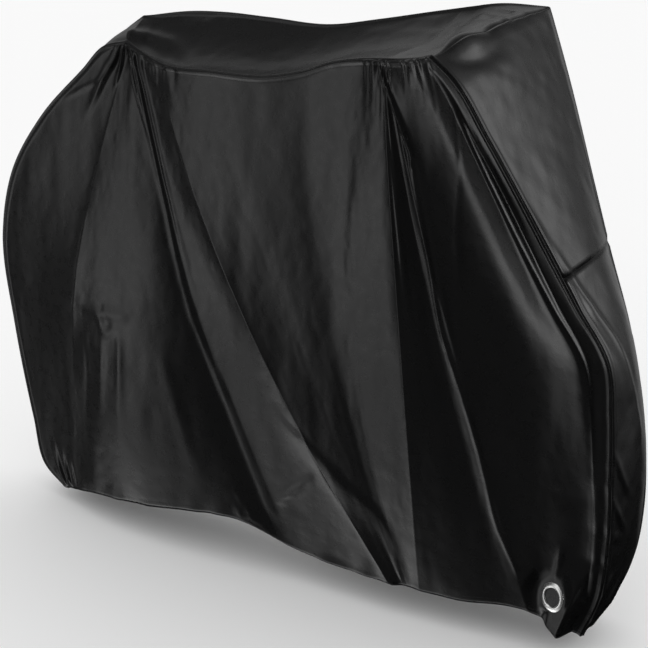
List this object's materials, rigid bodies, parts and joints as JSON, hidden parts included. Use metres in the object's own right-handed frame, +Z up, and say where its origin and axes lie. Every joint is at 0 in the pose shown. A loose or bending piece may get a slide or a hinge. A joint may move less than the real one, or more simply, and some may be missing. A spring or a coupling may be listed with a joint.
{
  "type": "bicycle cover",
  "caption": "Fitted cover of black coated cloth, draped as over a bicycle: two side panels, a gusset over the top and down the front, and lock eyelets.",
  "frame": {"origin": "on the level of the lowest hem point, under the middle of the cover's box", "axes": "+X to the bicycle's front, +Y to its left, +Z up"},
  "size_m": [1.6055, 0.4558, 1.1938],
  "materials": {
    "coated_cloth": "black coated nylon, satin sheen, slightly creased",
    "eyelet_metal": "bright set eyelet"
  },
  "bodies": {
    "root": {"side_panel_right": "coated_cloth", "side_panel_left": "coated_cloth", "rear_panel": "coated_cloth", "top_panel": "coated_cloth", "front_panel_upper": "coated_cloth", "front_panel_lower": "coated_cloth", "eyelet_field_right": "coated_cloth", "eyelet_field_left": "coated_cloth", "eyelet_right": "eyelet_metal", "eyelet_left": "eyelet_metal"}
  },
  "joints": []
}
